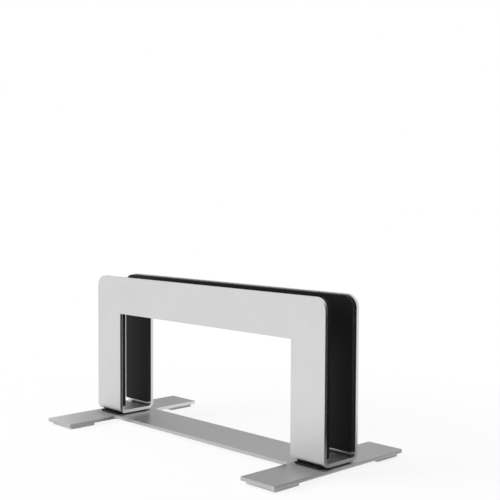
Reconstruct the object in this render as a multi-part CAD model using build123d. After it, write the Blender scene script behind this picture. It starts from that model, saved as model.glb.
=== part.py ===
from build123d import *
import os

# A vertical stand of folded sheet: a U-shaped cradle screwed to a flat base plate with four feet.
# Millimetres. X runs along the slot, the front is -Y, and the pads stand on Z = 0.

# Cradle: one flat ring of sheet, folded twice into a U
sheet_thickness = 2.0
cradle_length = 206.5
upright_height = 92.0           # underside of the floor straps to the top edge
leg_width = 25.0                # legs and floor straps alike
top_bar_height = 24.5
slot_width = 24.0               # between the inner faces of the two uprights
inner_bend_radius = 2.0
top_corner_radius = 7.5
window_corner_radius = 0.8

# Base plate: one flat sheet with a foot at each corner
base_thickness = 2.0
base_end_margin = 1.25          # past each end of the cradle
base_side_margin = 2.0          # past each upright's outer face
foot_width = 25.0
foot_length = 37.5              # past the plate's long edge
foot_tip_radius = 0.8
foot_root_radius = 2.5

# Foot pads, glued under the tips of the feet
pad_thickness = 2.0
pad_length = 18.5
pad_side_inset = 1.5
pad_tip_inset = 2.5
pad_corner_radius = 1.0

# Liners, glued inside the uprights
liner_thickness = 3.0
liner_edge_inset = 0.5
liner_bend_clearance = 0.5

# Gaskets, clamped between the floor straps and the base plate
gasket_thickness = 1.0
gasket_end_inset = 3.0          # from each side of its strap
gasket_corner_radius = 1.0

# Countersunk screws from below, tapped into the floor straps
screw_diameter = 3.0
screw_length = 5.0
screw_head_diameter = 5.5
screw_head_rim = 0.2
screw_spacing = 14.0            # between the two screws of one strap
socket_width = 2.0              # across the flats of the hex socket
socket_depth = 1.0

# Clearances, on the diameter, and the length by which a cutter passes the face it cuts
tapped_hole_clearance = 0.1
gasket_hole_clearance = 1.0
base_hole_clearance = 0.4
countersink_clearance = 0.2
cut_allowance = 1.0

# Levels and overall sizes that follow from these
base_bottom = pad_thickness
base_top = base_bottom + base_thickness
floor_bottom = base_top + gasket_thickness
floor_top = floor_bottom + sheet_thickness
cradle_top = floor_bottom + upright_height
window_top = cradle_top - top_bar_height
window_length = cradle_length - 2 * leg_width
cradle_depth = slot_width + 2 * sheet_thickness
base_length = cradle_length + 2 * base_end_margin
rail_depth = cradle_depth + 2 * base_side_margin
base_depth = rail_depth + 2 * foot_length
foot_centre_x = (base_length - foot_width) / 2
pad_centre_y = base_depth / 2 - pad_tip_inset - pad_length / 2

strap_centre_x = (cradle_length - leg_width) / 2
strap_screws = GridLocations(0, screw_spacing, 1, 2)
screw_places = GridLocations(2 * strap_centre_x, screw_spacing, 2, 2)


def upright_panel(length, bottom, top):
    """A rectangle in the plane of an upright, from one level to another."""
    return Pos(0, (bottom + top) / 2) * Rectangle(length, top - bottom)


def make_cradle():
    """Fold the U section, cut one window through both uprights and the floor, round the top corners."""
    outer_radius = inner_bend_radius + sheet_thickness
    outside = upright_panel(cradle_depth, floor_bottom, cradle_top)
    outside = fillet(outside.vertices().group_by(Axis.Y)[0], outer_radius)
    inside = upright_panel(slot_width, floor_top, cradle_top + cut_allowance)
    inside = fillet(inside.vertices().group_by(Axis.Y)[0], inner_bend_radius)
    folded = extrude(Plane.YZ * (outside - inside), cradle_length / 2, both=True)

    window = upright_panel(window_length, floor_bottom - cut_allowance, window_top)
    window = fillet(window.vertices().group_by(Axis.Y)[-1], window_corner_radius)
    folded -= extrude(Plane.XZ * window, cradle_depth, both=True)

    top_corners = folded.edges().filter_by(Axis.Y).group_by(Axis.Z)[-1]
    folded = fillet(top_corners, top_corner_radius)

    tapped_hole = Cylinder((screw_diameter + tapped_hole_clearance) / 2, sheet_thickness + 2 * cut_allowance)
    return folded - Pos(0, 0, (floor_bottom + floor_top) / 2) * screw_places * tapped_hole


def make_base_plate():
    """Cut the plate and its feet from one sheet, with countersunk holes from below."""
    outline = Rectangle(base_length, rail_depth)
    outline += GridLocations(2 * foot_centre_x, 0, 2, 1) * Rectangle(foot_width, base_depth)
    corners = outline.vertices()
    foot_tips = corners.filter_by(lambda corner: abs(corner.Y) > rail_depth / 2 + foot_length / 2)
    outline = fillet(foot_tips, foot_tip_radius)
    foot_roots = outline.vertices().filter_by(lambda corner: abs(corner.X) < base_length / 2 - foot_width / 2)
    foot_roots = foot_roots.filter_by(lambda corner: abs(corner.Y) < rail_depth / 2 + foot_root_radius)
    outline = fillet(foot_roots, foot_root_radius)
    plate = Pos(0, 0, base_bottom) * extrude(outline, base_thickness)

    bore_diameter = screw_diameter + base_hole_clearance
    bore = Cylinder(bore_diameter / 2, base_thickness + 2 * cut_allowance)
    plate -= Pos(0, 0, (base_bottom + base_top) / 2) * screw_places * bore
    return plate - Pos(0, 0, base_bottom) * screw_places * screw_head(countersink_clearance)


def screw_head(clearance):
    """A countersunk head with its flat face at Z = 0 and its cone pointing up, grown by a clearance."""
    head_radius = (screw_head_diameter + clearance) / 2
    shank_radius = screw_diameter / 2
    cone_top = screw_head_rim + head_radius - shank_radius
    half_section = Polyline(
        (0, 0),
        (head_radius, 0),
        (head_radius, screw_head_rim),
        (shank_radius, cone_top),
        (0, cone_top),
        close=True,
    )
    return revolve(Plane.XZ * make_face(half_section), Axis.Z)


def make_screws():
    """Countersunk screws with hex sockets, their heads flush with the underside of the base."""
    shank = Pos(0, 0, screw_length / 2) * Cylinder(screw_diameter / 2, screw_length)
    tip = shank.edges().group_by(Axis.Z)[-1]
    screw = screw_head(0) + chamfer(tip, screw_head_rim)
    socket = RegularPolygon(socket_width / 2, 6, major_radius=False)
    screw -= extrude(socket, socket_depth)
    return Compound([place * screw for place in Pos(0, 0, base_bottom) * screw_places])


def make_gasket(side):
    """A die-cut sheet under the strap on the given side, with a hole for each of its screws."""
    outline = RectangleRounded(leg_width - 2 * gasket_end_inset, cradle_depth, gasket_corner_radius)
    outline -= strap_screws * Circle((screw_diameter + gasket_hole_clearance) / 2)
    return Pos(side * strap_centre_x, 0, base_top) * extrude(outline, gasket_thickness)


def make_liner(side):
    """A die-cut liner that follows its upright's frame; side is -1 for the front and 1 for the back."""
    bottom = floor_top + inner_bend_radius + liner_bend_clearance
    panel = upright_panel(cradle_length - 2 * liner_edge_inset, bottom, cradle_top - liner_edge_inset)
    panel = fillet(panel.vertices().group_by(Axis.Y)[-1], top_corner_radius - liner_edge_inset)
    opening = upright_panel(window_length + 2 * liner_edge_inset, bottom, window_top + liner_edge_inset)
    liner_centre_y = side * (slot_width - liner_thickness) / 2
    sheet = extrude(Plane.XZ * (panel - opening), liner_thickness / 2, both=True)
    return Pos(0, liner_centre_y, 0) * sheet


def make_foot_pad(side_x, side_y):
    """One pad under the tip of the foot on the given sides."""
    outline = RectangleRounded(foot_width - 2 * pad_side_inset, pad_length, pad_corner_radius)
    return Pos(side_x * foot_centre_x, side_y * pad_centre_y, 0) * extrude(outline, pad_thickness)


pieces = {
    "cradle": make_cradle(),
    "base_plate": make_base_plate(),
    "front_liner": make_liner(-1),
    "back_liner": make_liner(1),
    "cradle_screws": make_screws(),
    "left_gasket": make_gasket(-1),
    "right_gasket": make_gasket(1),
}
for row, side_y in {"front": -1, "back": 1}.items():
    for end, side_x in {"left": -1, "right": 1}.items():
        pieces[f"{row}_{end}_foot_pad"] = make_foot_pad(side_x, side_y)

os.makedirs("parts", exist_ok=True)
for name, piece in pieces.items():
    piece.label = name
    export_step(piece, f"parts/{name}.step")
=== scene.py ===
"""Finishes, soft parts, screws and studio stage of a vertical desk stand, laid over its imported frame."""

import math

import bmesh
import bpy
from bpy.props import FloatProperty, FloatVectorProperty, IntProperty, PointerProperty
from bpy.types import Operator, Panel, PropertyGroup
from mathutils import Matrix, Vector


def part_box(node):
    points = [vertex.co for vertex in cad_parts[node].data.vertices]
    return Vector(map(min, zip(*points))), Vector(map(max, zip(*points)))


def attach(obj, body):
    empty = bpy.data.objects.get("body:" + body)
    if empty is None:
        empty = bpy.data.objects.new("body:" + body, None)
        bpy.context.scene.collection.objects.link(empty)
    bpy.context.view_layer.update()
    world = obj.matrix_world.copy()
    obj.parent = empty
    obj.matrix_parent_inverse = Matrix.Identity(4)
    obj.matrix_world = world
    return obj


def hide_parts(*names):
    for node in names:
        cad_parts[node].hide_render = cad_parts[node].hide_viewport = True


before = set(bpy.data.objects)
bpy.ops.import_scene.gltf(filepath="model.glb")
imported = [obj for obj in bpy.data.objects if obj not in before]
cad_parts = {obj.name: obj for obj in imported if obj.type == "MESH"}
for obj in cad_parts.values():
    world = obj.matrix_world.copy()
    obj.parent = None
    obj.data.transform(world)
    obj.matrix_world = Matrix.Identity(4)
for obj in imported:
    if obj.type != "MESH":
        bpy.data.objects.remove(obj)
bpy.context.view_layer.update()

bl_info = {
    "name": "Vertical desk stand",
    "version": (1, 0, 0),
    "blender": (4, 5, 0),
    "location": "3D View > Sidebar > Stand",
    "description": "Finishes the sheet metal, makes the soft parts and screws, and sets the studio stage",
    "category": "Object",
}

MM = 0.001
BODY = "root"
SHEET_NODES = ("cradle", "base_plate")
LINER_NODES = ("front_liner", "back_liner")
GASKET_NODES = ("left_gasket", "right_gasket")
PAD_NODES = ("front_left_foot_pad", "front_right_foot_pad", "back_left_foot_pad", "back_right_foot_pad")
SCREW_NODE = "cradle_screws"

# Points that draw a curve
CORNER_STEPS = 8
EDGE_STEPS = 5
HOLE_SIDES = 32
THREAD_ROWS = 8  # in one turn of a thread
SIDE_SHARES = (0.25, 0.5, 0.75)  # heights up a side that swells

# Two noises about 0.5 add up to about 1, and this range of the sum runs from one colour to the other
BLEND_LOW = 0.6
BLEND_HIGH = 1.4
ROUGHNESS_SPREAD = 0.04

# Modifiers and shading
WELD_DISTANCE = 0.0005 * MM
FLAT_ANGLE = math.radians(0.5)
BROKEN_EDGE_ANGLE = math.radians(35)
BROKEN_EDGE_SEGMENTS = 3
LARGE_FACE_WEIGHT = 100
SCREW_CREASE_ANGLE = math.radians(40)

# Floor, in metres
FLOOR_RADIUS = 20.0
FLOOR_SIDES = 64
FLOOR_DROP = 0.02 * MM  # below the undersides of the pads
FADE_START = 0.10
FADE_END = 0.30
FADE_WHITE = 0.82  # share of plain white under the stand; the rest takes its shadow

# Wall that stands in an arc behind, in millimetres and in degrees from +X
WALL_RADIUS = 900
WALL_HEIGHT = 500
WALL_START = 60
WALL_SWEEP = 93
WALL_PANELS = 24

# Cards on the floor, in millimetres: left, right, near and far edge
CARD_LEVEL = 0.3
# Painted shade: the right-facing edges mirror the first side card, and the left foot's right edge the two
# by its root
SIDE_SHADE_CARDS = ((108, 190, -75, 75), (-78, -62, -62, -30), (-78, -70, -30, -17))
FRONT_CARDS = ((46, 74, -68, -30), (74, 100, -68, -55), (-130, -84, -68, -55), (-70, 78, -30, -17))

# Upright cards, one at each leg, in millimetres: inner and outer edge, distance from the slot's middle,
# bottom and top. The feet mirror them as painted contact shade: grey before the legs, near black at the
# roots
LEG_SHADE_CARD = (78.5, 103, 14.5, 4.5, 14)
ROOT_SHADE_CARD = (50, 77.5, 16.3, 0.2, 10)

# Flag past the right end of the slot and card before the left leg's inner edge, which the cut edges mirror
# as
# painted shade: corners in millimetres
SHADE_FLAG = (
    ((106, 0, 16), (190, 0, 16), (190, 0, 105), (106, 0, 105)),
    ((113, 0, 5), (190, 0, 5), (190, 0, 16), (113, 0, 16)),
)
EDGE_SHADE_CARD = ((-77.85, -14.2, 5), (-77.85, -14.2, 72), (-77.85, -11.8, 72), (-77.85, -11.8, 5))

# Lamps, in metres, and the camera's frame, in millimetres
KEY_LAMP_PLACE = (-0.80, -0.90, 0.45)
TOP_LAMP_PLACE = (-0.05, -0.05, 1.30)
LAMP_SIZE = 1.0
SENSOR_WIDTH = 36.0
CLIP_START = 0.01  # in metres


def linear(hex_colour):
    """Turn an sRGB hex colour into linear red, green and blue."""
    channels = [int(hex_colour[start:start + 2], 16) / 255 for start in (1, 3, 5)]
    return tuple(c / 12.92 if c <= 0.04045 else ((c + 0.055) / 1.055) ** 2.4 for c in channels)


def length_property(name, description, millimetres):
    """A length that a user can change, given in millimetres."""
    return FloatProperty(
        name=name,
        description=description,
        default=millimetres * MM,
        min=0.0,
        subtype="DISTANCE",
        unit="LENGTH",
    )


def colour_property(name, description, hex_colour):
    """A surface colour that a user can change, given as sRGB hex."""
    return FloatVectorProperty(
        name=name,
        description=description,
        default=linear(hex_colour),
        size=3,
        min=0.0,
        max=1.0,
        subtype="COLOR",
    )


def share_property(name, description, default):
    """A share from 0 to 1 that a user can change."""
    return FloatProperty(
        name=name,
        description=description,
        default=default,
        min=0.0,
        max=1.0,
        subtype="FACTOR",
    )


def angle_property(name, description, degrees):
    """An angle that a user can change, given in degrees."""
    return FloatProperty(
        name=name,
        description=description,
        default=math.radians(degrees),
        subtype="ANGLE",
    )


class SheetMetalSettings(PropertyGroup):
    """Finish of the folded cradle and the base plate."""

    colour: colour_property("Colour", "Blasted and clear anodised face", "#DCDCDC")
    shade: colour_property("Shade", "Slightly darker patches of the same face", "#D4D4D4")
    edge_colour: colour_property("Edge colour", "Deburred edge of the sheet", "#DEDEDE")
    roughness: share_property("Roughness", "Roughness of the blasted face", 0.40)
    edge_roughness: share_property("Edge roughness", "Roughness of the deburred edge", 0.32)
    edge_width: length_property("Edge width", "Width of the deburred edge", 0.2)
    grain: length_property("Grain", "Size of the blasted dimples as drawn", 0.7)


class LinerSettings(PropertyGroup):
    """Shape and finish of the black sheets inside the uprights and under the straps."""

    colour: colour_property("Colour", "Black silicone", "#101010")
    bloom: colour_property("Bloom", "Paler bloom on the black silicone", "#191919")
    roughness: share_property("Roughness", "Roughness of the sheet", 0.62)
    leg_width: length_property("Leg width", "Width of a liner on each leg", 24.0)
    bar_height: length_property("Bar height", "Height of a liner on the top bar", 23.5)
    corner_radius: length_property("Corner radius", "Radius of a liner's top corners", 7.0)
    cut_radius: length_property("Cut radius", "Radius of the other die-cut corners", 1.0)
    edge_radius: length_property("Edge radius", "Softness of the cut edge", 0.25)
    hole_diameter: length_property("Hole diameter", "Screw holes in a gasket", 4.0)
    hole_spacing: length_property("Hole spacing", "Between the two holes of a gasket", 14.0)


class FootPadSettings(PropertyGroup):
    """Shape and finish of the pads under the feet."""

    colour: colour_property("Colour", "Pale grey silicone", "#CACAC8")
    shade: colour_property("Shade", "Darker patches of the silicone", "#C0C0BE")
    roughness: share_property("Roughness", "Roughness of the moulded face", 0.55)
    corner_radius: length_property("Corner radius", "Radius of the pad's corners, seen from below", 1.0)
    bottom_radius: length_property("Bottom edge radius", "Softness of the edge on the desk", 0.45)
    top_radius: length_property("Top edge radius", "Softness of the edge under the foot", 0.15)
    bulge: length_property("Bulge", "How far the sides swell under the weight", 0.08)


class ScrewSettings(PropertyGroup):
    """Shape and finish of the screws."""

    colour: colour_property("Colour", "Zinc plating", "#BFC2C4")
    shade: colour_property("Shade", "Duller patches of the plating", "#A9ADB0")
    roughness: share_property("Roughness", "Roughness of the plating", 0.30)
    thread_diameter: length_property("Thread diameter", "Outside diameter of the thread", 3.0)
    thread_pitch: length_property("Thread pitch", "Rise of one turn of the thread", 0.5)
    head_diameter: length_property("Head diameter", "Diameter of the countersunk head", 5.5)
    head_rim: length_property("Head rim", "Straight rim of the head", 0.2)
    socket_width: length_property("Socket width", "Across the flats of the hex socket", 2.0)
    socket_depth: length_property("Socket depth", "Depth of the hex socket", 1.0)
    spacing: length_property("Spacing", "Between the two screws of one strap", 14.0)
    sides: IntProperty(
        name="Sides",
        description="Points round each screw, in sixes",
        default=48,
        min=24,
        step=6,
    )


class StageSettings(PropertyGroup):
    """Floor, cards, light and camera."""

    floor_colour: colour_property("Floor colour", "Matte floor and background", "#FFFFFF")
    wall_colour: colour_property("Wall colour", "Grey wall behind that only the metal mirrors", "#848484")
    # Painted shade: the cut edges beside the slot's right end mirror this dark flag
    shade_flag_colour: colour_property("Flag colour", "Dark flag that only the metal mirrors", "#080808")
    # Painted shade: the right-facing edges mirror these cards
    side_shade_card_colour: colour_property(
        "Side card colour", "Cards beside the feet that only the metal mirrors", "#7C7C7C"
    )
    front_card_colour: colour_property(
        "Front card colour", "Cards before the feet that only gloss mirrors", "#D2D2D2"
    )
    # Painted contact shade: the feet's tops mirror these grey cards beside the legs
    leg_shade_card_colour: colour_property(
        "Leg card colour", "Cards before the legs that only the feet mirror", "#909090"
    )
    # Painted contact shade: the feet's edges at their roots mirror these near-black cards
    root_shade_card_colour: colour_property(
        "Root card colour", "Cards at the roots that only the feet mirror", "#101010"
    )
    # Painted shade: the left leg's inner cut edge mirrors this card
    edge_shade_card_colour: colour_property(
        "Edge card colour", "Card that only a leg's cut edge mirrors", "#484848"
    )
    fill: FloatProperty(
        name="Fill",
        description="Strength of the light from all round",
        default=0.36,
        min=0.0,
    )
    key_power: FloatProperty(
        name="Key power",
        description="Soft lamp from the front left",
        default=12.0,
        unit="POWER",
    )
    top_power: FloatProperty(
        name="Top power",
        description="Soft lamp from above",
        default=6.5,
        unit="POWER",
    )
    target: FloatVectorProperty(
        name="Target",
        description="Point in the middle of the picture",
        default=(45.659 * MM, -14.0 * MM, 120.111 * MM),
        subtype="TRANSLATION",
        unit="LENGTH",
    )
    distance: length_property("Distance", "Camera to target", 547.243)
    azimuth: angle_property("Azimuth", "Camera turned to the right of the front", 45.806)
    elevation: angle_property("Elevation", "Camera above the target", 2.989)
    roll: angle_property("Roll", "Tilt of the picture", 0.279)
    lens: FloatProperty(
        name="Lens",
        description="Focal length on a 36 mm frame",
        default=68.952,
        unit="CAMERA",
    )


def add_node(tree, kind, inputs=None, **settings):
    """Add a node, set its properties, and give each input a value or a link."""
    node = tree.nodes.new(kind)
    for name, value in settings.items():
        setattr(node, name, value)
    for name, value in (inputs or {}).items():
        if isinstance(value, bpy.types.NodeSocket):
            tree.links.new(value, node.inputs[name])
        else:
            node.inputs[name].default_value = value
    return node


def new_material(name):
    """An empty node material."""
    material = bpy.data.materials.new(name)
    material.use_nodes = True
    material.node_tree.nodes.clear()
    return material, material.node_tree


def clear_from_behind(tree, surface):
    """Show a surface from its front only."""
    behind = add_node(tree, "ShaderNodeNewGeometry").outputs["Backfacing"]
    clear = add_node(tree, "ShaderNodeBsdfTransparent")
    return add_node(tree, "ShaderNodeMixShader", {0: behind, 1: surface.outputs[0], 2: clear.outputs[0]})


def seen_directly(tree):
    """A share that is 1 for what the eye sees, straight or in gloss, and 0 for light on matte surfaces."""
    path = add_node(tree, "ShaderNodeLightPath").outputs
    seen = path["Is Camera Ray"]
    for kind in ("Is Glossy Ray", "Is Transmission Ray"):
        seen = add_node(tree, "ShaderNodeMath", {0: seen, 1: path[kind]}, operation="ADD").outputs[0]
    return seen


def finish_surface(name, colours, roughness, patch, grain, bump_strength, bump_height, shader):
    """A surface with cloudy patches of two colours and a fine grain.

    Sizes are in metres, and shader holds the sockets that keep one value.
    """
    material, tree = new_material(name)
    place = add_node(tree, "ShaderNodeTexCoord").outputs["Object"]
    cloud = add_node(
        tree, "ShaderNodeTexNoise", {"Vector": place, "Scale": 1 / patch, "Detail": 4.0, "Roughness": 0.6}
    ).outputs["Fac"]
    speck = add_node(
        tree, "ShaderNodeTexNoise", {"Vector": place, "Scale": 1 / grain, "Detail": 2.0}
    ).outputs["Fac"]
    blend = add_node(tree, "ShaderNodeMath", {0: cloud, 1: speck}, operation="ADD").outputs[0]
    share = add_node(
        tree,
        "ShaderNodeMapRange",
        {"Value": blend, "From Min": BLEND_LOW, "From Max": BLEND_HIGH},
    ).outputs[0]
    colour = add_node(
        tree,
        "ShaderNodeMix",
        {0: share, 6: (*colours[0], 1.0), 7: (*colours[1], 1.0)},
        data_type="RGBA",
    ).outputs[2]
    dullness = add_node(
        tree,
        "ShaderNodeMapRange",
        {"Value": share, "To Min": roughness - ROUGHNESS_SPREAD, "To Max": roughness + ROUGHNESS_SPREAD},
    ).outputs[0]
    relief = add_node(
        tree,
        "ShaderNodeBump",
        {"Height": speck, "Strength": bump_strength, "Distance": bump_height},
    ).outputs["Normal"]
    surface = add_node(
        tree,
        "ShaderNodeBsdfPrincipled",
        {"Base Color": colour, "Roughness": dullness, "Normal": relief, **shader},
    )
    add_node(tree, "ShaderNodeOutputMaterial", {"Surface": surface.outputs["BSDF"]})
    return material


def dress_node(node, materials, edge_width):
    """Give a CAD node its finish and softly broken edges; its mesh stays as it is."""
    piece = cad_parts[node]
    piece.data.materials.clear()
    for material in materials:
        piece.data.materials.append(material)
    weld = piece.modifiers.new("join facets", "WELD")
    weld.merge_threshold = WELD_DISTANCE
    flat = piece.modifiers.new("merge flat facets", "DECIMATE")
    flat.decimate_type = "DISSOLVE"
    flat.angle_limit = FLAT_ANGLE
    edge = piece.modifiers.new("broken edge", "BEVEL")
    edge.width = edge_width
    edge.segments = BROKEN_EDGE_SEGMENTS
    edge.limit_method = "ANGLE"
    edge.angle_limit = BROKEN_EDGE_ANGLE
    edge.material = len(materials) - 1
    even_shading(piece)


def even_shading(piece):
    """Let the large flat faces set the shading of the soft edges beside them."""
    shading = piece.modifiers.new("even shading", "WEIGHTED_NORMAL")
    shading.weight = LARGE_FACE_WEIGHT
    shading.keep_sharp = False


def add_piece(name, mesh_data, material, node):
    """Make a new piece from a bmesh in place of a CAD node."""
    bmesh.ops.recalc_face_normals(mesh_data, faces=mesh_data.faces)
    mesh = bpy.data.meshes.new(name)
    mesh_data.to_mesh(mesh)
    mesh_data.free()
    mesh.shade_smooth()
    mesh.materials.append(material)
    piece = bpy.data.objects.new(name, mesh)
    bpy.context.scene.collection.objects.link(piece)
    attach(piece, BODY)
    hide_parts(node)
    return piece


def rounded_polygon(corners):
    """Points round a polygon whose corners are (x, y, radius)."""
    points = []
    for index, (x, y, radius) in enumerate(corners):
        corner = Vector((x, y))
        before = (Vector(corners[index - 1][:2]) - corner).normalized()
        after = (Vector(corners[(index + 1) % len(corners)][:2]) - corner).normalized()
        half_angle = before.angle(after) / 2
        reach = radius / math.tan(half_angle)
        start, end = corner + before * reach, corner + after * reach
        centre = corner + (before + after).normalized() * (radius / math.sin(half_angle))
        sweep = math.pi - 2 * half_angle
        turn = math.copysign(sweep, (start - centre).cross(end - centre))
        for step in range(CORNER_STEPS + 1):
            points.append(centre + Matrix.Rotation(turn * step / CORNER_STEPS, 2) @ (start - centre))
    return points


def rounded_rectangle(half_x, half_y, radius):
    """Points round a rectangle about the origin, anticlockwise."""
    corners = ((-half_x, -half_y), (half_x, -half_y), (half_x, half_y), (-half_x, half_y))
    return rounded_polygon([(x, y, radius) for x, y in corners])


def inset_loop(points, inset):
    """Move a closed loop evenly to its left, which is into the material."""
    moved = []
    for index, point in enumerate(points):
        before = (point - points[index - 1]).normalized()
        after = (points[(index + 1) % len(points)] - point).normalized()
        left = Vector((-before.y - after.y, before.x + after.x)).normalized()
        moved.append(point + left * (inset / left.dot(Vector((-after.y, after.x)))))
    return moved


def soft_profile(low, high, low_radius, high_radius, bulge):
    """Insets and levels up the side of a soft sheet, with rounded edges and a side that swells."""
    quarter_turn = [math.radians(90 * step / EDGE_STEPS) for step in range(EDGE_STEPS + 1)]
    profile = []
    for angle in quarter_turn:
        inset = bulge + low_radius * (1 - math.sin(angle))
        profile.append((inset, low + low_radius * (1 - math.cos(angle))))
    for share in SIDE_SHARES:
        level = low + low_radius + share * (high - low - low_radius - high_radius)
        profile.append((bulge * (1 - math.sin(math.pi * share)), level))
    for angle in quarter_turn:
        inset = bulge + high_radius * (1 - math.cos(angle))
        profile.append((inset, high - high_radius * (1 - math.sin(angle))))
    return profile


def skin_loops(mesh_data, loops):
    """Skin closed loops of equally many points, and return the first and last as vertices."""
    rings = [[mesh_data.verts.new(point) for point in loop] for loop in loops]
    count = len(rings[0])
    for lower, upper in zip(rings, rings[1:]):
        for index in range(count):
            following = (index + 1) % count
            mesh_data.faces.new((lower[index], lower[following], upper[following], upper[index]))
    return rings[0], rings[-1]


def mould_sheet(mesh_data, outlines, profile, place):
    """Carry each outline up a profile, and fill between the outlines at both ends."""
    ends = ([], [])
    for outline in outlines:
        loops = [[place(x, y, level) for x, y in inset_loop(outline, inset)] for inset, level in profile]
        for end, ring in zip(ends, skin_loops(mesh_data, loops)):
            end += [mesh_data.edges.get((ring[index - 1], ring[index])) for index in range(len(ring))]
    for end in ends:
        bmesh.ops.triangle_fill(mesh_data, use_beauty=True, use_dissolve=False, edges=end)


class STAND_OT_sheet_metal(Operator):
    """Finish the folded cradle and the base plate"""

    bl_idname = "stand.sheet_metal"
    bl_label = "Sheet metal"

    def execute(self, context):
        look = context.scene.stand_sheet_metal
        # Fine glass-bead blasting leaves a satin face with no direction, and the clear anodising keeps it
        # silver grey. Real dimples of about 0.1 mm don't show at this size, so they are drawn coarser.
        face = finish_surface(
            "bead_blasted_anodised_aluminium",
            (look.colour, look.shade),
            look.roughness,
            patch=35 * MM,
            grain=look.grain,
            bump_strength=0.10,
            bump_height=0.02 * MM,
            shader={"Metallic": 1.0},
        )
        # The edges are tumbled before anodising, so they are a little smoother and catch a thin light line.
        edge = finish_surface(
            "tumbled_anodised_aluminium_edge",
            (look.edge_colour, look.colour),
            look.edge_roughness,
            patch=12 * MM,
            grain=look.grain,
            bump_strength=0.05,
            bump_height=0.02 * MM,
            shader={"Metallic": 1.0},
        )
        for node in SHEET_NODES:
            dress_node(node, (face, edge), look.edge_width)
        return {"FINISHED"}


class STAND_OT_liners(Operator):
    """Make the black liners inside the uprights and the gaskets under the straps"""

    bl_idname = "stand.liners"
    bl_label = "Liners and gaskets"

    def execute(self, context):
        look = context.scene.stand_liners
        # Calendered silicone sheet is a deep matte black with a faint pebble and a trace of pale bloom.
        # The pebble of about 0.3 mm is drawn coarser to show.
        silicone = finish_surface(
            "calendered_black_silicone_sheet",
            (look.colour, look.bloom),
            look.roughness,
            patch=18 * MM,
            grain=0.8 * MM,
            bump_strength=0.25,
            bump_height=0.04 * MM,
            shader={"IOR": 1.41, "Specular IOR Level": 0.3},
        )
        for node in LINER_NODES:
            self.cut_liner(node, look, silicone)
        for node in GASKET_NODES:
            self.cut_gasket(node, look, silicone)
        return {"FINISHED"}

    @staticmethod
    def cut_liner(node, look, silicone):
        """Die-cut one liner to its upright's frame, with soft edges."""
        low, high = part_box(node)
        inner = high.x - look.leg_width
        opening_top = high.z - look.bar_height
        outline = rounded_polygon(
            (
                (low.x, low.z, look.cut_radius),
                (-inner, low.z, look.cut_radius),
                (-inner, opening_top, look.cut_radius),
                (inner, opening_top, look.cut_radius),
                (inner, low.z, look.cut_radius),
                (high.x, low.z, look.cut_radius),
                (high.x, high.z, look.corner_radius),
                (low.x, high.z, look.corner_radius),
            )
        )
        profile = soft_profile(low.y, high.y, look.edge_radius, look.edge_radius, 0.0)
        mesh_data = bmesh.new()
        mould_sheet(mesh_data, [outline], profile, lambda x, z, y: (x, y, z))
        even_shading(add_piece(f"{node}_sheet", mesh_data, silicone, node))

    @staticmethod
    def cut_gasket(node, look, silicone):
        """Die-cut one gasket with its two screw holes, with soft edges."""
        low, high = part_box(node)
        centre = (low + high) / 2
        outlines = [rounded_rectangle((high.x - low.x) / 2, (high.y - low.y) / 2, look.cut_radius)]
        radius = look.hole_diameter / 2
        # The holes run clockwise, so that their soft edges too are inset into the material.
        angles = [-2 * math.pi * step / HOLE_SIDES for step in range(HOLE_SIDES)]
        for offset in (-look.hole_spacing / 2, look.hole_spacing / 2):
            outlines.append([Vector((radius * math.cos(a), offset + radius * math.sin(a))) for a in angles])
        profile = soft_profile(low.z, high.z, look.edge_radius, look.edge_radius, 0.0)
        mesh_data = bmesh.new()
        mould_sheet(mesh_data, outlines, profile, lambda x, y, z: (centre.x + x, centre.y + y, z))
        even_shading(add_piece(f"{node}_sheet", mesh_data, silicone, node))


class STAND_OT_foot_pads(Operator):
    """Make the soft pads under the feet"""

    bl_idname = "stand.foot_pads"
    bl_label = "Foot pads"

    def execute(self, context):
        look = context.scene.stand_foot_pads
        # Moulded silicone is softly lit from within, and its face keeps the fine spark-eroded grain of the
        # mould, which is drawn coarser than its real 0.2 mm to show.
        silicone = finish_surface(
            "moulded_pale_grey_silicone",
            (look.colour, look.shade),
            look.roughness,
            patch=9 * MM,
            grain=0.6 * MM,
            bump_strength=0.20,
            bump_height=0.03 * MM,
            shader={
                "IOR": 1.41,
                "Subsurface Weight": 0.15,
                "Subsurface Radius": (1.0, 1.0, 1.0),
                "Subsurface Scale": 0.8 * MM,
            },
        )
        for node in PAD_NODES:
            low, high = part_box(node)
            centre = (low + high) / 2
            outline = rounded_rectangle((high.x - low.x) / 2, (high.y - low.y) / 2, look.corner_radius)
            profile = soft_profile(low.z, high.z, look.bottom_radius, look.top_radius, look.bulge)
            mesh_data = bmesh.new()
            mould_sheet(mesh_data, [outline], profile, lambda x, y, z: (centre.x + x, centre.y + y, z))
            even_shading(add_piece(f"{node}_moulding", mesh_data, silicone, node))
        return {"FINISHED"}


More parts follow.
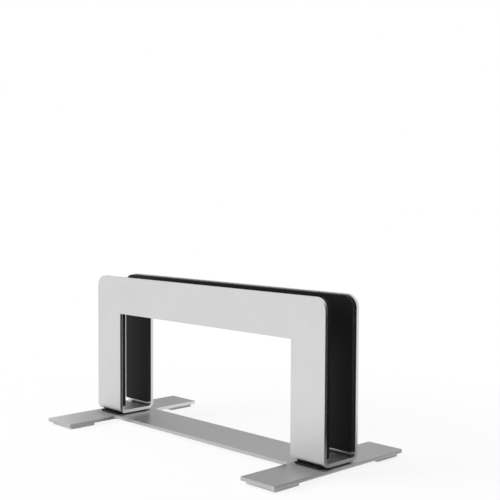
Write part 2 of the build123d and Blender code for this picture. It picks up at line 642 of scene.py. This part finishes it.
class STAND_OT_screws(Operator):
    """Make the threaded screws that hold the cradle"""

    bl_idname = "stand.screws"
    bl_label = "Screws"

    def execute(self, context):
        look = context.scene.stand_screws
        # Bright zinc plating over turned steel is a cool light grey with a slightly cloudy sheen.
        plating = finish_surface(
            "zinc_plated_steel",
            (look.colour, look.shade),
            look.roughness,
            patch=2.5 * MM,
            grain=0.25 * MM,
            bump_strength=0.06,
            bump_height=0.01 * MM,
            shader={"Metallic": 1.0},
        )
        low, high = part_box(SCREW_NODE)
        head_radius = look.head_diameter / 2
        mesh_data = bmesh.new()
        for x in (low.x + head_radius, high.x - head_radius):
            for y in (-look.spacing / 2, look.spacing / 2):
                self.turn_screw(mesh_data, look, Vector((x, y, low.z)), high.z - low.z)
        piece = add_piece("cradle_screws_threaded", mesh_data, plating, SCREW_NODE)
        piece.data.set_sharp_from_angle(angle=SCREW_CREASE_ANGLE)
        return {"FINISHED"}

    @staticmethod
    def turn_screw(mesh_data, look, foot, length):
        """Turn one countersunk screw, head down, with a hex socket and a helical thread."""
        chamfer = 0.06 * MM
        drill_tip_radius = 0.05 * MM
        drill_tip_depth = 0.2 * MM  # past the flats of the socket
        neck_length = 0.15 * MM
        thread_gap = 0.2 * MM  # head to the first turn
        tip_chamfer = 0.15 * MM
        thread_depth = 0.6 * look.thread_pitch
        fade_in, fade_out = 4, 6  # the thread grows over its first quarter and dies over its last sixth
        crest_height, flank_slope = 1.25, 2.9  # cut off at 0 and 1, they leave a flat root and a flat crest

        socket = look.socket_width
        major = look.thread_diameter / 2
        minor = major - thread_depth
        head_radius = look.head_diameter / 2
        cone_top = look.head_rim + head_radius - major
        turns = [2 * math.pi * index / look.sides for index in range(look.sides)]

        def ring(radius, level):
            return [foot + Vector((radius * math.cos(a), radius * math.sin(a), level)) for a in turns]

        def hexagon(width, level):
            flats = [width / 2 / math.cos((a % (math.pi / 3)) - math.pi / 6) for a in turns]
            return [foot + Vector((r * math.cos(a), r * math.sin(a), level)) for r, a in zip(flats, turns)]

        loops = [
            ring(drill_tip_radius, look.socket_depth + drill_tip_depth),
            hexagon(socket, look.socket_depth),
            hexagon(socket, chamfer),
            hexagon(socket + 2 * chamfer, 0.0),
            ring(head_radius - chamfer, 0.0),
            ring(head_radius, chamfer),
            ring(head_radius, look.head_rim),
            ring(major, cone_top),
            ring(minor, cone_top + neck_length),
        ]
        thread_start = cone_top + thread_gap
        thread_end = length - tip_chamfer
        rows = round((thread_end - thread_start) / look.thread_pitch * THREAD_ROWS)
        for row in range(rows + 1):
            level = thread_start + (thread_end - thread_start) * row / rows
            fade = min(1.0, fade_in * row / rows, fade_out * (rows - row) / rows)
            loop = []
            for a in turns:
                phase = (level / look.thread_pitch - a / (2 * math.pi)) % 1.0
                crest = max(0.0, min(1.0, crest_height - abs(phase - 0.5) * flank_slope))
                radius = minor + (major - minor) * crest * fade
                loop.append(foot + Vector((radius * math.cos(a), radius * math.sin(a), level)))
            loops.append(loop)
        loops.append(ring(minor - tip_chamfer, length))
        for end in skin_loops(mesh_data, loops):
            mesh_data.faces.new(end)


def add_stage_piece(scene, name, mesh_data, material):
    """Put one stage piece in the scene."""
    mesh = bpy.data.meshes.new(name)
    mesh_data.to_mesh(mesh)
    mesh_data.free()
    mesh.materials.append(material)
    piece = bpy.data.objects.new(name, mesh)
    scene.collection.objects.link(piece)
    return piece


def wall_panels():
    """Corners of the flat panels that make up the wall's arc."""
    panels = []
    for step in range(WALL_PANELS):
        angles = [math.radians(WALL_START + WALL_SWEEP * (step + side) / WALL_PANELS) for side in (0, 1)]
        (x0, y0), (x1, y1) = [(WALL_RADIUS * math.cos(a), WALL_RADIUS * math.sin(a)) for a in angles]
        panels.append(((x0, y0, 0), (x1, y1, 0), (x1, y1, WALL_HEIGHT), (x0, y0, WALL_HEIGHT)))
    return panels


def flat_cards(cards):
    """Corners of cards that lie just above the floor."""
    faces = []
    for left, right, near, far in cards:
        corners = ((left, near), (right, near), (right, far), (left, far))
        faces.append([(x, y, CARD_LEVEL) for x, y in corners])
    return faces


def upright_cards(inner, outer, depth, bottom, top):
    """Corners of one upright card at each leg, all facing away from the slot."""
    faces = []
    for side_x in (-1, 1):
        for side_y in (-1, 1):
            ends = (inner, outer) if side_x * side_y < 0 else (outer, inner)
            left, right = [side_x * end for end in ends]
            corners = ((left, bottom), (right, bottom), (right, top), (left, top))
            faces.append([(x, side_y * depth, z) for x, z in corners])
    return faces


class STAND_OT_stage(Operator):
    """Set the floor, the cards, the light and the camera"""

    bl_idname = "stand.stage"
    bl_label = "Stage"

    def execute(self, context):
        look = context.scene.stand_stage
        context.scene.view_settings.view_transform = "Standard"
        self.lay_floor(context.scene, look)
        self.stand_cards(context.scene, look)
        self.set_world(context.scene, look)
        self.hang_lamps(context.scene, look)
        self.place_camera(context.scene, look)
        return {"FINISHED"}

    @staticmethod
    def lay_floor(scene, look):
        """A matte floor that fades into the background, takes a soft shadow and is clear from below."""
        material, tree = new_material("matte_white_floor")
        place = add_node(tree, "ShaderNodeTexCoord").outputs["Object"]
        reach = add_node(tree, "ShaderNodeVectorMath", {0: place}, operation="LENGTH").outputs["Value"]
        white = add_node(
            tree,
            "ShaderNodeMapRange",
            {
                "Value": reach,
                "From Min": FADE_START,
                "From Max": FADE_END,
                "To Min": FADE_WHITE,
                "To Max": 1.0,
            },
            interpolation_type="SMOOTHSTEP",
        ).outputs[0]
        share = add_node(
            tree,
            "ShaderNodeMath",
            {0: seen_directly(tree), 1: white},
            operation="MULTIPLY",
            use_clamp=True,
        )
        matte = add_node(tree, "ShaderNodeBsdfDiffuse", {"Color": (*look.floor_colour, 1.0)})
        glow = add_node(tree, "ShaderNodeEmission", {"Color": (*look.floor_colour, 1.0), "Strength": 1.0})
        mix = add_node(
            tree,
            "ShaderNodeMixShader",
            {0: share.outputs[0], 1: matte.outputs[0], 2: glow.outputs[0]},
        )
        whole = clear_from_behind(tree, mix)
        add_node(tree, "ShaderNodeOutputMaterial", {"Surface": whole.outputs[0]})
        mesh_data = bmesh.new()
        bmesh.ops.create_circle(mesh_data, cap_ends=True, segments=FLOOR_SIDES, radius=FLOOR_RADIUS)
        bmesh.ops.translate(mesh_data, verts=mesh_data.verts, vec=(0.0, 0.0, -FLOOR_DROP))
        add_stage_piece(scene, "floor", mesh_data, material)

    @staticmethod
    def stand_cards(scene, look):
        """A grey wall behind, a dark flag in line with the slot, and cards on the floor and by the metal.

        Only gloss mirrors them. The wall gives the metal's tops a middle grey; the flag, the edge card and
        the side cards paint shade on its cut edges, and the leg and root cards paint contact shade on the
        feet. The close cards are clear from behind, so that only the face they turn to mirrors them.
        """
        cards = {
            "grey_wall": (wall_panels(), look.wall_colour, False),
            # Painted shade on the legs' cut edges
            "shade_flag": (SHADE_FLAG, look.shade_flag_colour, False),
            # Painted shade on the right-facing edges and at the left foot's root
            "side_shade_cards": (flat_cards(SIDE_SHADE_CARDS), look.side_shade_card_colour, False),
            "front_cards": (flat_cards(FRONT_CARDS), look.front_card_colour, False),
            # Painted contact shade, which the feet mirror beside the legs and at their roots
            "leg_shade_cards": (upright_cards(*LEG_SHADE_CARD), look.leg_shade_card_colour, True),
            "root_shade_cards": (upright_cards(*ROOT_SHADE_CARD), look.root_shade_card_colour, True),
            # Painted shade on the left leg's inner cut edge
            "edge_shade_card": ([EDGE_SHADE_CARD], look.edge_shade_card_colour, True),
        }
        for name, (faces, colour, clear_behind) in cards.items():
            material, tree = new_material(f"matte_{name}")
            surface = add_node(tree, "ShaderNodeEmission", {"Color": (*colour, 1.0), "Strength": 1.0})
            if clear_behind:
                surface = clear_from_behind(tree, surface)
            add_node(tree, "ShaderNodeOutputMaterial", {"Surface": surface.outputs[0]})
            mesh_data = bmesh.new()
            for face in faces:
                mesh_data.faces.new([mesh_data.verts.new(Vector(corner) * MM) for corner in face])
            piece = add_stage_piece(scene, name, mesh_data, material)
            piece.visible_camera = False
            piece.visible_diffuse = False
            piece.visible_shadow = False

    @staticmethod
    def set_world(scene, look):
        """White to the eye and to metal, and an even fill light for the rest."""
        world = bpy.data.worlds.new("white_studio")
        scene.world = world
        world.use_nodes = True
        tree = world.node_tree
        tree.nodes.clear()
        plain_white = (1.0, 1.0, 1.0, 1.0)
        background = (*look.floor_colour, 1.0)
        fill = add_node(tree, "ShaderNodeBackground", {"Strength": look.fill, "Color": plain_white})
        white = add_node(tree, "ShaderNodeBackground", {"Strength": 1.0, "Color": background})
        mix = add_node(
            tree,
            "ShaderNodeMixShader",
            {0: seen_directly(tree), 1: fill.outputs[0], 2: white.outputs[0]},
        )
        add_node(tree, "ShaderNodeOutputWorld", {"Surface": mix.outputs[0]})

    @staticmethod
    def hang_lamps(scene, look):
        """Two large soft lamps, one low at the front left and one above."""
        lamps = {
            "key_lamp": (look.key_power, KEY_LAMP_PLACE),
            "top_lamp": (look.top_power, TOP_LAMP_PLACE),
        }
        for name, (power, place) in lamps.items():
            lamp = bpy.data.lights.new(name, "AREA")
            lamp.shape = "DISK"
            lamp.size = LAMP_SIZE
            lamp.energy = power
            piece = bpy.data.objects.new(name, lamp)
            piece.location = place
            piece.rotation_euler = Vector(place).to_track_quat("Z", "Y").to_euler()
            piece.visible_glossy = False
            scene.collection.objects.link(piece)

    @staticmethod
    def place_camera(scene, look):
        """The camera stands at the front right, a little above the stand."""
        lens = bpy.data.cameras.new("camera")
        lens.sensor_width = SENSOR_WIDTH
        lens.lens = look.lens
        lens.clip_start = CLIP_START
        azimuth, elevation = look.azimuth, look.elevation
        back = Vector(
            (
                math.sin(azimuth) * math.cos(elevation),
                -math.cos(azimuth) * math.cos(elevation),
                math.sin(elevation),
            )
        )
        right = Vector((math.cos(azimuth), math.sin(azimuth), 0.0))
        up = back.cross(right)
        turned_right = right * math.cos(look.roll) + up * math.sin(look.roll)
        turned_up = up * math.cos(look.roll) - right * math.sin(look.roll)
        camera = bpy.data.objects.new("camera", lens)
        pose = Matrix((turned_right, turned_up, back)).transposed().to_4x4()
        pose.translation = Vector(look.target) + back * look.distance
        camera.matrix_world = pose
        scene.collection.objects.link(camera)
        scene.camera = camera


class STAND_PT_pieces(Panel):
    """Lists the stand's pieces and their settings"""

    bl_idname = "STAND_PT_pieces"
    bl_label = "Vertical desk stand"
    bl_space_type = "VIEW_3D"
    bl_region_type = "UI"
    bl_category = "Stand"

    def draw(self, context):
        for operator, settings in PIECES:
            box = self.layout.box()
            box.operator(operator.bl_idname)
            group = getattr(context.scene, settings)
            for name in group.__annotations__:
                box.prop(group, name)


PIECES = (
    (STAND_OT_sheet_metal, "stand_sheet_metal"),
    (STAND_OT_liners, "stand_liners"),
    (STAND_OT_foot_pads, "stand_foot_pads"),
    (STAND_OT_screws, "stand_screws"),
    (STAND_OT_stage, "stand_stage"),
)
SETTINGS = {
    "stand_sheet_metal": SheetMetalSettings,
    "stand_liners": LinerSettings,
    "stand_foot_pads": FootPadSettings,
    "stand_screws": ScrewSettings,
    "stand_stage": StageSettings,
}
CLASSES = (*SETTINGS.values(), *(operator for operator, _ in PIECES), STAND_PT_pieces)


def register():
    for cls in CLASSES:
        bpy.utils.register_class(cls)
    for name, group in SETTINGS.items():
        setattr(bpy.types.Scene, name, PointerProperty(type=group))


def unregister():
    for name in SETTINGS:
        delattr(bpy.types.Scene, name)
    for cls in reversed(CLASSES):
        bpy.utils.unregister_class(cls)


def main():
    register()
    bpy.ops.stand.sheet_metal()
    bpy.ops.stand.liners()
    bpy.ops.stand.foot_pads()
    bpy.ops.stand.screws()
    bpy.ops.stand.stage()


if __name__ == "__main__":
    main()
